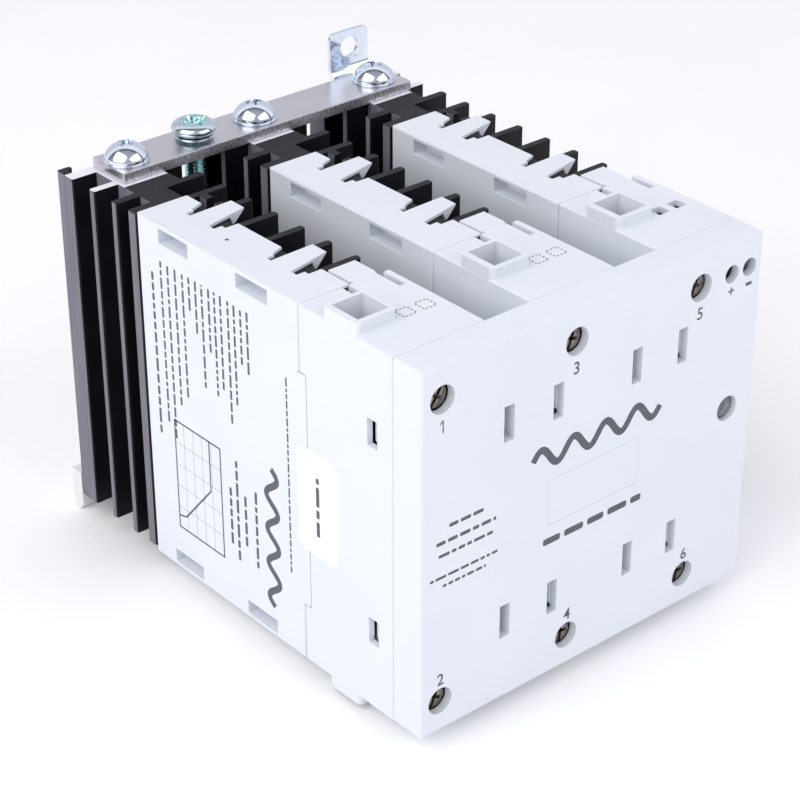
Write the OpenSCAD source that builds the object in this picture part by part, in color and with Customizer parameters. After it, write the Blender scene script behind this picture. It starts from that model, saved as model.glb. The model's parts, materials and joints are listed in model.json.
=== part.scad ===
// Three-channel solid state relay for a 35 mm rail or a panel.
// Origin: middle of the rail on the rear mounting plane. -Y is the front, +X the right, +Z the top.

/* [Overall] */
// Width over the three poles
total_w = 90; // [89:0.5:92]
// Height of the housings
height = 81.6; // [80:0.2:84]
// Front face to the rear mounting plane
depth = 117.2; // [117:0.1:118]

/* [Poles] */
// Width of one pole
pole_w = 22.5; // [22.2:0.1:22.6]
// Depth of the front cover
cover_d = 7.9; // [7.6:0.1:8.2]
// Rear end of the terminal housing, from the front face
housing_end = 35.5; // [35:0.1:36]
// Rear end of the rear shell, from the front face
shell_end = 88.2; // [88:0.1:88.4]
// Width of the rear shell
shell_w = 12.8; // [12.7:0.1:13]
// Wall thickness of the mouldings
wall = 1.5; // [1.4:0.1:1.6]
// Seam between neighbouring mouldings
seam = 0.2; // [0.1:0.05:0.3]

/* [Heat sink] */
// Length of the extrusion
sink_len = 80; // [79:0.1:80]
// Left face of the base plate that carries the power module
plate_x = 8.2; // [8.1:0.1:8.4]
// Thickness of the base plate
plate_t = 4.4; // [4.2:0.1:4.4]
// Width of the solid spine
spine_w = 11.2; // [11:0.1:11.4]
// Thickness of a side fin
fin_t = 1.75; // [1.6:0.05:1.9]
// Pitch of the side fins
fin_pitch = 8.72; // [8.6:0.02:8.75]
// Thickness of the rear wall fin
rear_fin_t = 3.1; // [3:0.1:3.2]
// Depth of the slot behind the rear fin
slot_d = 2.8; // [2.6:0.1:2.9]
// Depth of the bare contact strip milled across the top
milled = 0.15; // [0.1:0.05:0.2]

/* [Power terminals] */
// Terminal screw axis from the pole's left side
term_x = 5.1; // [5:0.1:5.2]
// Terminal screw axis from the nearest end of the housing
term_z = 7.1; // [7:0.1:7.3]
// Driver hole diameter in the cover
driver_d = 5.9; // [5.8:0.1:6]
// Depth of a terminal screw's head below the front face
head_sink = 1.7; // [1.5:0.1:2]
// Terminal screw thread diameter
term_d = 3.9; // [3.8:0.05:3.95]
// Travel of a clamp cage
cage_travel = 5.2; // [4:0.1:5.3]
// Height of the wire-entry collars
collar_h = 2.5; // [2:0.1:2.8]

/* [Control terminals] */
// First control screw from the pole's left side
ctrl_x = 13.9; // [13.8:0.1:14]
// Pitch of the control screws
ctrl_pitch = 5.08; // [5:0.02:5.1]
// Driver hole diameter of the control screws
ctrl_hole_d = 3.9; // [3.8:0.1:4]

/* [Earth bar] */
// Bar width
bar_w = 11.6; // [11.2:0.1:11.8]
// Bar thickness
bar_t = 2.4; // [2.2:0.1:2.6]
// Thread diameter of the bar screws
bar_screw_d = 4.9; // [4.8:0.05:4.95]
// Gap under the raised earth screw's washer
earth_lift = 0.6; // [0.6:0.1:2]

/* [Panel bracket] */
// Width of the bracket
bracket_w = 11; // [10:0.5:11]
// Sheet thickness of the bracket
bracket_t = 1; // [0.9:0.1:1.2]
// Bracket hole diameter
bracket_hole_d = 4.8; // [4.5:0.1:5.5]
// Height of the bracket above the housings
bracket_rise = 11; // [9:0.5:12]
// Height of the bracket's hole above the housings
bracket_hole_rise = 7.05; // [6.5:0.05:7.5]

/* [Rail foot] */
// Gap for the rail's edge
rail_gap = 1.4; // [1.3:0.1:1.6]
// Travel of the release latch
latch_travel = 4; // [3:0.5:5]
// Reach of the release handle below the housings
handle_drop = 4; // [3:0.5:5]

/* [Hidden] */
$fn = 48;
eps = 0.01;
edge_r = 0.4;
gap = 0.3;
POLES = [0, 1, 2];
pole_gap = (total_w - 3 * pole_w) / 2;
pole_pitch = pole_w + pole_gap;
sink_z0 = (height - sink_len) / 2;
sink_z1 = sink_z0 + sink_len;

// Heat-sink outline, from the pole's left side and the front face
plate_x1 = plate_x + plate_t;
spine_x = 6;
rear_fin_y = depth - slot_d - rear_fin_t;
long_fin_t = 1.95;
long_fin_pitch = 8.05;
stub_t = 2.9;
stub_y = shell_end + 0.4;
side_fin_y0 = 43.85;
plate_y0 = 37.2;
lip_x = 3.2;
lip_t = 1.3;
slot_x = 2;
tip_r = 0.5;
milled_y0 = 100.9;

// Housing details
tongue_z0 = 13.5;
tongue_z1 = 66.9;
tongue_d = 2.1;
cavity_z = 5;
front_wall_y = cover_d + seam;
pocket_d = 3.9;
collar_x0 = 0.15;
collar_x1 = 10.2;
collar_y0 = 18.5;
collar_y1 = 28.4;
collar_r = 1.2;
shaft_x0 = 1.7;
shaft_x1 = 9.2;
shaft_y0 = 19.7;
shaft_y1 = 27.4;
shaft_wall = 0.8;
shaft_skirt = 1.8;

// Snap fingers: depth of each rear tip corner, and the plan of the slot and the finger from there
FINGERS = [80.1, 53.5];
finger_x = 18;
FINGER_PLAN = [[7, -6.7], [finger_x, -4.35], [finger_x, 0], [7, -0.35]];
SLOT_PLAN = [[7.4, -8.4], [9.4, -8.4], [9.4, -9.6], [13.5, -9.6], [13.5, 3.4], [9.4, 1.8],
             [9.4, 1.15], [7.4, 1.15]];
barb_h = 2.5;
barb_w = 2.8;
lid_t = 0.75;

// Moulding pockets beside the fingers
POCKETS = [70.7, 45];
pocket_w = 10;
pocket_h = 3.3;

// Cover latches: low ends of the windows, their size, and the arms
LATCH_Z = [15.1, 60];
latch_h = 6;
latch_y0 = 12.4;
latch_y1 = 15.4;
arm_x = 1.8;
arm_t = 1.3;

// Terminal stack along the depth
bus_y = 17.1;
bus_t = 1.4;
bus_x0 = 2.65;
bus_x1 = 7.55;
cage_y = front_wall_y + wall + gap + cage_travel;
cage_wall = 1.7;
cage_end = 27.6;
cage_w = 7.4;
cage_h = 7;
head_d = 5.3;
head_h = 3.3;
boss_y = head_sink + head_h + gap;
bus_z = 61;

// Indicator in the third pole
lamp_x = 15.3;
lamp_z = 43.4;
lamp_d = 5.6;

// Link board, the height of its plug into each pole, and the left face of the pole's own board
trigger_x = 3;
link_y = 3.8;
link_t = 1.6;
link_z0 = 29;
link_z1 = 55;
plug_z0 = 33;
plug_z1 = 48;

// Control terminals
ctrl_z = height - 7;
ctrl_entry_x = 11.8;
ctrl_entry_pitch = 4.9;
ctrl_entry_y = 18.4;
ctrl_d = 2.9;
ctrl_travel = 2.8;
ctrl_cage_w = 4;
ctrl_cage_wall = 0.45;
ctrl_cage_end = 22.4;
ctrl_cage_y = front_wall_y + wall + 3 + ctrl_travel;
ctrl_head_d = 3.5;
ctrl_entry_w = 3;
ctrl_head_y = 2.3;
ctrl_head_h = 2.2;
ctrl_bus_y = 17;

// Earth bar, from the unit's left side and the front face
bar_x0 = 6.9;
bar_x1 = 85.2;
bar_y0 = 102.2;
bar_z = sink_z1 - milled;
bar_screw_x = spine_x + spine_w / 2;
bar_screw_y = bar_y0 + bar_w / 2;
bar_hole_d = 5.3;
bar_head_d = 9.9;
bar_head_h = 4.1;
bar_flange_t = 0.7;
bar_dome_d = 9.4;
bar_dome_r = 5.2;
bar_screw_len = 9;
earth_x = pole_w + pole_gap / 2 + 1;
earth_head_h = 3.3;
earth_dome_r = 6.3;
earth_hole_d = 5;
earth_len = 14;
washer_d = 8.4;
washer_t = 0.5;
washer_hole_d = 5;

// Rear fixings and rail foot
rail_z = height / 2;
rail_h = 35;
foot_x0 = 3.5;
foot_x1 = pole_w - foot_x0;
foot_t = 2.5;
claw_t = 2.5;
claw_reach = latch_travel - 1.5;
rear_screw_d = 3.9;
rear_head_d = 7;
rear_head_h = 1.2;
rear_screw_len = 6;
hook_screw_z = rail_z + 9;
bracket_screw_z = 68.8;
bracket_z0 = 65.3;
spring_z0 = 27.9;
spring_z1 = 42.7;

// ---------- helpers ----------

// Box from its low corner to its high corner
module block(a, b) {
    translate(a) cube([b[0] - a[0], b[1] - a[1], b[2] - a[2]]);
}

// Flat rectangle from its low corner to its high corner
module flat(a, b) {
    translate(a) square([b[0] - a[0], b[1] - a[1]]);
}

// Places the unit's left front bottom corner at the origin of its children
module unit_frame() {
    translate([-total_w / 2, -depth, -height / 2]) children();
}

// Places one pole's left front bottom corner at the origin of its children
module pole_frame(i) {
    unit_frame() translate([i * pole_pitch, 0, 0]) children();
}

// Keeps its children, and repeats them upside down at the other end of the housing
module both_ends() {
    children();
    translate([0, 0, height]) mirror([0, 0, 1]) children();
}

// Line terminals are at the top and load terminals at the bottom
module terminal_end(top) {
    if (top) children();
    else translate([0, 0, height]) mirror([0, 0, 1]) children();
}

// Cylinder along the depth axis
module along_y(x, y0, y1, z, d) {
    translate([x, y0, z]) rotate([-90, 0, 0]) cylinder(d = d, h = y1 - y0);
}

// Outline in the depth-height plane given a thickness along X
module across_x(x0, x1) {
    translate([x0, 0, 0]) rotate([90, 0, 90]) linear_extrude(x1 - x0) children();
}

// Flat rectangle with round corners
module rounded_flat(a, b, r) {
    flat([a[0] + r, a[1]], [b[0] - r, b[1]]);
    flat([a[0], a[1] + r], [b[0], b[1] - r]);
    for (x = [a[0] + r, b[0] - r], y = [a[1] + r, b[1] - r]) translate([x, y]) circle(r = r);
}

// Box with all its edges rounded
module soft_block(a, b, r) {
    intersection() {
        translate([0, 0, a[2]]) linear_extrude(b[2] - a[2]) rounded_flat([a[0], a[1]], [b[0], b[1]], r);
        across_x(a[0], b[0]) rounded_flat([a[1], a[2]], [b[1], b[2]], r);
        translate([0, b[1], 0]) rotate([90, 0, 0]) linear_extrude(b[1] - a[1])
            rounded_flat([a[0], a[2]], [b[0], b[2]], r);
    }
}

// Heat-sink fin in plan, with rounded tips
module fin(x0, x1, y0, y1) {
    rounded_flat([x0, y0], [x1, y1], tip_r);
}

// ---------- mouldings ----------

module front_cover() {
    rim = 0.7;
    plate = 2;
    color("whitesmoke") unit_frame() difference() {
        soft_block([0, 0, 0], [total_w, cover_d + 2 * rim, height], rim);
        block([-1, cover_d, -1], [total_w + 1, cover_d + 3 * rim, height + 1]);
        // Hollow behind each pole and behind the gaps between the poles
        for (i = POLES)
            block([i * pole_pitch + wall, plate, wall],
                  [i * pole_pitch + pole_w - wall, cover_d + 1, height - wall]);
        for (i = [0, 1])
            block([i * pole_pitch + pole_w + wall, plate, wall],
                  [(i + 1) * pole_pitch - wall, cover_d - wall, height - wall]);
        // Passage for the link board through the inner walls
        block([wall, plate, link_z0 - 1], [total_w - wall, cover_d - wall, link_z1 + 1]);
        // Driver holes of the power terminals
        for (i = POLES, z = [term_z, height - term_z])
            along_y(i * pole_pitch + term_x, -1, plate + 1, z, driver_d);
        // Driver holes of the control terminals
        for (k = [0, 1])
            along_y(2 * pole_pitch + ctrl_x + k * ctrl_pitch, -1, plate + 1, ctrl_z, ctrl_hole_d);
        // Indicator window
        along_y(2 * pole_pitch + lamp_x, -1, plate + 1, lamp_z, lamp_d);
        // Release slots beside the gaps
        for (i = [0, 1], x = [i * pole_pitch + 20.5, (i + 1) * pole_pitch - 0.55], z = [14.55, 59.4])
            block([x, -1, z], [x + 2.6, cover_d - wall, z + 7.65]);
        // Shallow panel for a marking plate
        block([32.5, -1, 35.9], [57.2, 0.15, 46.4]);
    }
    // Latch arms with small barbs that catch in the windows of the poles' side walls
    color("whitesmoke") for (i = POLES, m = [0, 1]) pole_frame(i)
        translate([m * pole_w, 0, 0]) mirror([m, 0, 0]) for (z = LATCH_Z) {
            block([arm_x, plate - eps, z + 0.3], [arm_x + arm_t, latch_y1 - 0.3, z + latch_h - 0.3]);
            translate([0, 0, z + 0.6]) linear_extrude(latch_h - 1.2)
                polygon([[arm_x + eps, latch_y0 + 0.2], [0.8, latch_y0 + 0.2], [0.8, latch_y0 + 0.8],
                         [arm_x + eps, latch_y1 - 0.5]]);
        }
}

module indicator_lens() {
    color("lightgray") unit_frame() translate([2 * pole_pitch + lamp_x, 0, lamp_z]) {
        intersection() {
            along_y(0, 0.5, 2.9, 0, lamp_d - 0.2);
            translate([0, 7, 0]) sphere(r = 6.4, $fn = 64);
        }
        along_y(0, 2.05, 2.9, 0, 7);
    }
}

// Board across the cover that feeds the three poles
module link_board() {
    back = link_y + link_t;
    color("darkgreen") unit_frame() {
        block([wall + 1, link_y, link_z0], [total_w - wall - 1, back, link_z1]);
        // Sockets for the three trigger boards
        for (i = POLES)
            difference() {
                block([i * pole_pitch + 1.8, back - eps, plug_z0 + 1],
                      [i * pole_pitch + 6.4, 10, plug_z1 - 1]);
                block([i * pole_pitch + trigger_x - 0.1, back + 1.4, plug_z0 + 1.8],
                      [i * pole_pitch + trigger_x + 1.5, 11, plug_z1 - 1.8]);
            }
        // Indicator lamp behind the window
        along_y(2 * pole_pitch + lamp_x, 3.1, link_y + eps, lamp_z, 3);
        // Input resistors and protection diode
        for (k = [0, 1, 2])
            block([40 + 5 * k, back - eps, 36], [43 + 5 * k, back + 1.2, 42]);
    }
}

module side_sticker() {
    film_t = 0.1;
    color("white") unit_frame() across_x(-film_t, 0) rounded_flat([24.1, 27.3], [36.9, 51], 3);
}

// Raised collar of one wire entry
module wire_collar() {
    translate([0, 0, height - wall]) linear_extrude(wall + collar_h)
        rounded_flat([collar_x0, collar_y0], [collar_x1, collar_y1], collar_r);
}

// Clear way of one wire entry
module wire_shaft() {
    block([shaft_x0, shaft_y0, height - term_z], [shaft_x1, shaft_y1, height + collar_h + 1]);
}

// Terminal chamber, less the skirt that guides the wire into the clamp cage
module terminal_chamber(deck_z) {
    difference() {
        block([0.9, front_wall_y + wall, deck_z], [shaft_x1, housing_end - wall, height - wall]);
        block([0, shaft_y0 - shaft_wall, height - wall - shaft_skirt],
              [shaft_x1 + 1, shaft_y1 + shaft_wall, height]);
    }
}

module terminal_housing(i) {
    deck_z = height - 12.8;
    color("whitesmoke") pole_frame(i) difference() {
        union() {
            soft_block([0, front_wall_y, 0], [pole_w, housing_end, height], edge_r);
            // Rear spigot beside the heat sink's base plate
            block([13.2, housing_end - 1, 0], [19.9, 42.7, height]);
            both_ends() wire_collar();
            // Seats under the screw heads
            for (z = [term_z, height - term_z]) along_y(term_x, boss_y, front_wall_y + eps, z, 7);
            if (i == 2) for (k = [0, 1])
                along_y(ctrl_x + k * ctrl_pitch, ctrl_head_y + ctrl_head_h + gap, front_wall_y + eps, ctrl_z,
                        ctrl_head_d + 0.4);
        }
        // Middle chamber and the two terminal chambers
        block([wall, front_wall_y + wall, 14.2], [pole_w - wall, housing_end - wall, height - 14.2]);
        both_ends() {
            terminal_chamber(deck_z);
            block([10.4, front_wall_y + wall, deck_z], [pole_w - wall, housing_end - wall, height - wall]);
            wire_shaft();
            // Busbar slit through the deck
            block([bus_x0 - 0.3, bus_y - 0.2, deck_z - wall - 1],
                  [bus_x1 + 0.3, bus_y + bus_t + 0.2, deck_z + 1]);
            // Seat of the tab at the right rear corner
            block([19.5, 28.8, height - wall - 1], [21, housing_end + 1, height + 1]);
        }
        // Hollow of the spigot
        block([14.5, housing_end - wall - 1, wall], [18.6, 41.4, height - wall]);
        // Terminal screw shanks
        for (z = [term_z, height - term_z])
            along_y(term_x, boss_y - 1, front_wall_y + wall + 1, z, term_d + 0.15);
        // Plug of the link board, and the passage to the rear shell
        block([wall, front_wall_y - 1, plug_z0], [7, front_wall_y + wall + 1, plug_z1]);
        block([wall, housing_end - wall - 1, 18.5], [plate_x - 0.4, housing_end + 1, height - 18.5]);
        // Tongue of the rear shell
        block([-1, housing_end - tongue_d, tongue_z0 - seam],
              [wall + seam, housing_end + 1, tongue_z1 + seam]);
        // Latch windows in both side walls, and slots that let the cover's arms in
        for (m = [0, 1]) translate([m * pole_w, 0, 0]) mirror([m, 0, 0]) for (z = LATCH_Z) {
            block([-1, latch_y0, z], [wall + 1, latch_y1, z + latch_h]);
            block([arm_x - 1.1, front_wall_y - 1, z],
                  [arm_x + arm_t + 0.2, front_wall_y + wall + 1, z + latch_h]);
        }
        // Small hole at the seam
        both_ends() block([10.5, 31.9, height - wall - 1], [12.3, housing_end + 1, height + 1]);
        if (i == 2) {
            // Control chamber, screws, wire entries and the contacts' way to the link board
            block([10.4, front_wall_y + wall, deck_z], [pole_w - 0.9, housing_end - wall, height - wall]);
            for (k = [0, 1]) {
                along_y(ctrl_x + k * ctrl_pitch, ctrl_head_y + 1, front_wall_y + wall + 1, ctrl_z,
                        ctrl_d + 0.15);
                translate([ctrl_entry_x + k * ctrl_entry_pitch, ctrl_entry_y, height - wall - 1])
                    cube([ctrl_entry_w, ctrl_entry_w, wall + 2]);
            }
            block([11.5, front_wall_y - 1, 48.5], [pole_w - wall, front_wall_y + wall + 1, 53.5]);
            block([11.5, ctrl_bus_y - 0.3, deck_z - wall - 1], [21, ctrl_bus_y + 1.3, deck_z + 1]);
        }
    }
}

// Finger plan cut to a side profile, between two depths from the rear tip
module finger_piece(y0, y1) {
    intersection() {
        translate([0, 0, -barb_h - 1]) linear_extrude(barb_h + 1) polygon(FINGER_PLAN);
        translate([0, y1, 0]) rotate([90, 0, 0]) linear_extrude(y1 - y0) children();
    }
}

// Tapered snap finger at the top of the rear shell, with a barb along its front edge
module snap_finger(y) {
    translate([0, y, height]) {
        finger_piece(-8, 1)
            polygon([[6, 0], [finger_x, 0], [finger_x, -0.35], [finger_x - 0.5, -lid_t], [6, -lid_t]]);
        finger_piece(-8, barb_w - 4.35)
            polygon([[13, 0], [finger_x, 0], [finger_x, -0.35], [15.2, -barb_h], [14.5, -barb_h],
                     [13.8, -lid_t], [13, -lid_t]]);
    }
}

module rear_shell(i) {
    color("whitesmoke") pole_frame(i) {
        difference() {
            union() {
                intersection() {
                    soft_block([0, housing_end + seam, 0], [shell_w, shell_end, height], edge_r);
                    linear_extrude(height) rounded_flat([0, housing_end - 2], [shell_w + 2, shell_end], 0.9);
                }
                block([0, housing_end - tongue_d + seam, tongue_z0], [wall, housing_end + 1, tongue_z1]);
            }
            // Room for the base plate of the heat sink
            block([plate_x - 0.2, housing_end, lid_t], [shell_w + 1, shell_end + 1, height - lid_t]);
            // Electronics chamber
            block([wall, 37, cavity_z], [plate_x, shell_end - wall, height - cavity_z]);
            block([wall + seam, housing_end, 18.5], [plate_x, 38, height - 18.5]);
            // Moulding pockets beside the snap fingers, and the slots that free the fingers
            both_ends() {
                for (y = POCKETS)
                    block([-1, y, height - 0.9 - pocket_h], [pocket_d, y + pocket_w, height - 0.9]);
                for (y = FINGERS)
                    translate([0, y, height - 1]) linear_extrude(2) polygon(SLOT_PLAN);
            }
        }
        both_ends() for (y = FINGERS) snap_finger(y);
    }
}

// ---------- heat sink ----------

module sink_outline() {
    // Rear fin with its two hooked edges, which make a slot for the rear fixings
    fin(0, pole_w, rear_fin_y, rear_fin_y + rear_fin_t);
    for (m = [0, 1]) translate([m * pole_w, 0]) mirror([m, 0]) {
        fin(0, slot_x, rear_fin_y, depth);
        fin(0, lip_x, depth - lip_t, depth);
    }
    // Long fins on both sides of the spine
    for (k = [1, 2])
        fin(0, pole_w, rear_fin_y - k * long_fin_pitch, rear_fin_y - k * long_fin_pitch + long_fin_t);
    fin(0.2, plate_x1, stub_y, stub_y + stub_t);
    // Spine, its narrow neck and the base plate
    flat([spine_x, rear_fin_y - 2 * long_fin_pitch], [spine_x + spine_w, rear_fin_y + 1]);
    flat([spine_x, stub_y], [plate_x1, rear_fin_y]);
    flat([plate_x, plate_y0], [plate_x1, stub_y + 1]);
    // Side fins
    for (k = [0:5])
        fin(plate_x1 - 1, pole_w, side_fin_y0 + k * fin_pitch, side_fin_y0 + k * fin_pitch + fin_t);
    // Screw channel between the last two side fins
    flat([15.4, side_fin_y0 + 5 * fin_pitch - 2.3], [17.3, side_fin_y0 + 5 * fin_pitch + 1]);
    flat([15.4, side_fin_y0 + 4 * fin_pitch + 1], [17.3, side_fin_y0 + 4 * fin_pitch + fin_t + 2]);
}

module heat_sink(i) {
    color("#1c1c20") pole_frame(i) difference() {
        translate([0, 0, sink_z0]) linear_extrude(sink_len) sink_outline();
        // Bare strip for the earth bar
        block([-1, milled_y0, sink_z1 - milled], [pole_w + 1, depth - slot_d, height]);
        // Tapped hole of the bar screw
        translate([bar_screw_x, bar_screw_y, bar_z - bar_screw_len - 0.5]) cylinder(d = 5, h = 20);
        // Tapped holes of the rear fixings
        if (i != 1) along_y(pole_w / 2, 108.9, depth, hook_screw_z, 4);
        if (i == 2) along_y(pole_w / 2, 108.9, depth, bracket_screw_z, 4);
    }
}

// ---------- electronics ----------

// Substrate with two thyristor chips, on the base plate
module power_module(i) {
    color("gainsboro") pole_frame(i) {
        block([plate_x - 0.8, 41, 17], [plate_x, 84, height - 17]);
        for (z = [26, 44]) block([plate_x - 1.4, 56, z], [plate_x - 0.8 + eps, 68, z + 12]);
    }
}

// Gate drive board with its neck to the link board
module trigger_board(i) {
    x1 = trigger_x + 1.4;
    neck_z0 = plug_z0 + 2.2;
    neck_z1 = plug_z1 - 2.2;
    color("darkgreen") pole_frame(i) {
        across_x(trigger_x, x1)
            polygon([[7.4, neck_z0], [48.5, neck_z0], [48.5, 15], [82, 15], [82, 66], [48.5, 66],
                     [48.5, neck_z1], [7.4, neck_z1]]);
        // Opto-triac, pulse capacitor, snubber and gate resistors
        block([x1 - eps, 50, 36], [x1 + 1.9, 59, 43]);
        block([x1 - eps, 50, 18], [x1 + 1.9, 56, 30]);
        block([x1 - eps, 72, 20], [x1 + 1.9, 80, 34]);
        for (k = [0, 1, 2]) block([x1 - eps, 72, 40 + 6 * k], [x1 + 1, 78, 43 + 6 * k]);
    }
}

// Copper bar from a clamp cage to the power module
module busbar(i, top) {
    color("#c8814f") pole_frame(i) terminal_end(top) {
        block([bus_x0, bus_y, bus_z - bus_t], [bus_x1, bus_y + bus_t, height - 4.2]);
        block([bus_x0, bus_y, bus_z - bus_t], [plate_x - 0.9, 44.5, bus_z]);
        block([plate_x - 0.9 - bus_t, 41.5, 52], [plate_x - 0.9, 44.5, bus_z]);
    }
}

// ---------- screws and cages ----------

// Cross recess for a screw head that ends at y = 0 and faces -Y
module cross_slot(w, l, d) {
    for (a = [0, 90]) rotate([0, a, 0]) block([-l / 2, -1, -w / 2], [l / 2, d, w / 2]);
}

module terminal_screw(i, top) {
    y0 = head_sink;
    color("#6e6a62") pole_frame(i) translate([term_x, 0, top ? height - term_z : term_z]) difference() {
        union() {
            along_y(0, y0, y0 + head_h, 0, head_d);
            along_y(0, y0 + 1, bus_y - 0.1, 0, term_d);
        }
        translate([0, y0, 0]) cross_slot(0.9, 3.6, 1.8);
        translate([0, y0, 0]) block([-3, -1, -0.35], [3, 1, 0.35]);
    }
}

module clamp_cage(i, top) {
    x0 = term_x - cage_w / 2;
    color("#b9b7ae") pole_frame(i) terminal_end(top) translate([0, 0, height - term_z - cage_h / 2])
        difference() {
            block([x0, cage_y, 0], [x0 + cage_w, cage_end, cage_h]);
            block([x0 + 0.9, cage_y + cage_wall, -1], [x0 + cage_w - 0.9, cage_end - 1.2, cage_h + 1]);
            along_y(term_x, cage_y - 1, cage_y + cage_wall + 1, cage_h / 2, 4);
        }
}

module control_screw(k) {
    y0 = ctrl_head_y;
    color("#6e6a62") pole_frame(2) translate([ctrl_x + k * ctrl_pitch, 0, ctrl_z]) difference() {
        union() {
            along_y(0, y0, y0 + ctrl_head_h, 0, ctrl_head_d);
            along_y(0, y0 + 1, ctrl_bus_y - 0.1, 0, ctrl_d);
        }
        translate([0, y0, 0]) block([-3, -1, -0.3], [3, 1.2, 0.3]);
    }
}

module control_cage(k) {
    x = ctrl_x + k * ctrl_pitch;
    color("#b9b7ae") pole_frame(2) difference() {
        block([x - ctrl_cage_w / 2, ctrl_cage_y, ctrl_z - 2.5],
              [x + ctrl_cage_w / 2, ctrl_cage_end, ctrl_z + 2.5]);
        block([x - ctrl_cage_w / 2 + ctrl_cage_wall, ctrl_cage_y + 1.3, ctrl_z - 4],
              [x + ctrl_cage_w / 2 - ctrl_cage_wall, ctrl_cage_end - 0.9, ctrl_z + 4]);
        along_y(x, ctrl_cage_y - 1, ctrl_cage_y + 2, ctrl_z, ctrl_d + 0.1);
    }
}

// Two tinned strips from the control cages to the link board
module control_contacts() {
    color("silver") pole_frame(2) for (k = [0, 1]) {
        x = ctrl_x + k * ctrl_pitch;
        block([x - 1.1, ctrl_bus_y, 50], [x + 1.1, ctrl_bus_y + 1, ctrl_z + 2.6]);
        block([x - 1.1, 5.5, 50], [x + 1.1, ctrl_bus_y + 1, 51]);
    }
}

// Dome of a screw head: a sphere cut to a diameter, with its crown at height h
module dome(d, h, r) {
    intersection() {
        cylinder(d = d, h = h);
        translate([0, 0, h - r]) sphere(r = r, $fn = 64);
    }
}

// Shank that points down from the underside of a head at z = 0
module shank(len) {
    translate([0, 0, -len]) cylinder(d = bar_screw_d, h = len + bar_flange_t);
}

// Screw of the earth bar: tall dome on a thin flange, with a small cross recess
module flange_screw() {
    difference() {
        union() {
            cylinder(d = bar_head_d, h = bar_flange_t);
            dome(bar_dome_d, bar_head_h, bar_dome_r);
            shank(bar_t + bar_screw_len);
        }
        translate([0, 0, bar_head_h]) rotate([-90, 0, 0]) cross_slot(1, 4.2, 2);
    }
}

// Low-head earth screw with a wide cross recess
module pan_screw() {
    difference() {
        union() {
            dome(bar_head_d, earth_head_h, earth_dome_r);
            shank(earth_len);
        }
        translate([0, 0, earth_head_h]) rotate([-90, 0, 0]) cross_slot(1.3, 5.6, 1.9);
    }
}

// ---------- earth bar ----------

module earth_bar() {
    color("silver") unit_frame() difference() {
        block([bar_x0, bar_y0, bar_z], [bar_x1, bar_y0 + bar_w, bar_z + bar_t]);
        for (i = POLES)
            translate([i * pole_pitch + bar_screw_x, bar_screw_y, bar_z - 1])
                cylinder(d = bar_hole_d, h = bar_t + 2);
        translate([earth_x, bar_screw_y, bar_z - 1]) cylinder(d = earth_hole_d, h = bar_t + 2);
    }
}

module bar_screws() {
    color("lightsteelblue") unit_frame() for (i = POLES)
        translate([i * pole_pitch + bar_screw_x, bar_screw_y, bar_z + bar_t])
            rotate(25 + 40 * i) flange_screw();
}

module earth_screw() {
    color("paleturquoise") unit_frame()
        translate([earth_x, bar_screw_y, bar_z + bar_t + earth_lift + washer_t])
            rotate(10) pan_screw();
}

module earth_washer() {
    color("paleturquoise") unit_frame()
        translate([earth_x, bar_screw_y, bar_z + bar_t + earth_lift]) difference() {
            cylinder(d = washer_d, h = washer_t - 0.02);
            translate([0, 0, -1]) cylinder(d = washer_hole_d, h = washer_t + 2);
        }
}

// ---------- rear fixings ----------

module mounting_bracket() {
    x0 = 2 * pole_pitch + (pole_w - bracket_w) / 2;
    x1 = x0 + bracket_w;
    yl = depth - slot_d + 0.1;
    yt = depth - bracket_t;
    top = height + bracket_rise;
    corner = 1.5;
    color("lightsteelblue") unit_frame() difference() {
        union() {
            across_x(x0, x1) polygon([[yl, bracket_z0], [yl + bracket_t, bracket_z0],
                [yl + bracket_t, height - 0.2], [yt + bracket_t, height + 2.2],
                [yt + bracket_t, height + 5], [yt, height + 5], [yt, height + 2.6],
                [yl, height + 0.2]]);
            translate([0, yt + bracket_t, 0]) rotate([90, 0, 0]) linear_extrude(bracket_t) {
                flat([x0, height + 4], [x1, top - corner]);
                flat([x0 + corner, top - corner - eps], [x1 - corner, top]);
                for (x = [x0 + corner, x1 - corner]) translate([x, top - corner]) circle(r = corner);
            }
        }
        along_y((x0 + x1) / 2, depth - 4, depth + 1, height + bracket_hole_rise, bracket_hole_d);
        along_y((x0 + x1) / 2, depth - 4, depth + 1, bracket_screw_z, 4.2);
    }
}

// Low-head screws of the bracket and the two rail hooks
module rear_screws() {
    head_y = depth - slot_d + 0.1 + bracket_t;
    places = [[0, hook_screw_z], [2, hook_screw_z], [2, bracket_screw_z]];
    color("lightsteelblue") unit_frame() for (p = places)
        translate([p[0] * pole_pitch + pole_w / 2, head_y, p[1]]) difference() {
            union() {
                along_y(0, 0, rear_head_h, 0, rear_head_d);
                along_y(0, -rear_screw_len, 0.5, 0, rear_screw_d);
            }
            translate([0, rear_head_h, 0]) mirror([0, 1, 0]) cross_slot(0.9, 3.8, 0.8);
        }
}

// Slider that fits the slot behind the rear fin
module foot_plate(z0, z1) {
    y0 = depth - slot_d + 0.1;
    block([slot_x + 0.1, y0, z0], [pole_w - slot_x - 0.1, depth - lip_t - 0.1, z1]);
    block([foot_x0, y0, z0], [foot_x1, depth + 0.1 + eps, z1]);
}

// Claw behind the rail's edge, opening downward at z
module rail_claw(z) {
    y0 = depth + 0.1;
    claw_y = depth + rail_gap;
    across_x(4.5, pole_w - 4.5)
        polygon([[y0, z], [claw_y, z], [claw_y, z - claw_reach], [claw_y + claw_t, z - claw_reach + 0.8],
                 [claw_y + claw_t, z + 4], [claw_y + claw_t - 1, z + 5], [y0, z + 5]]);
}

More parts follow.
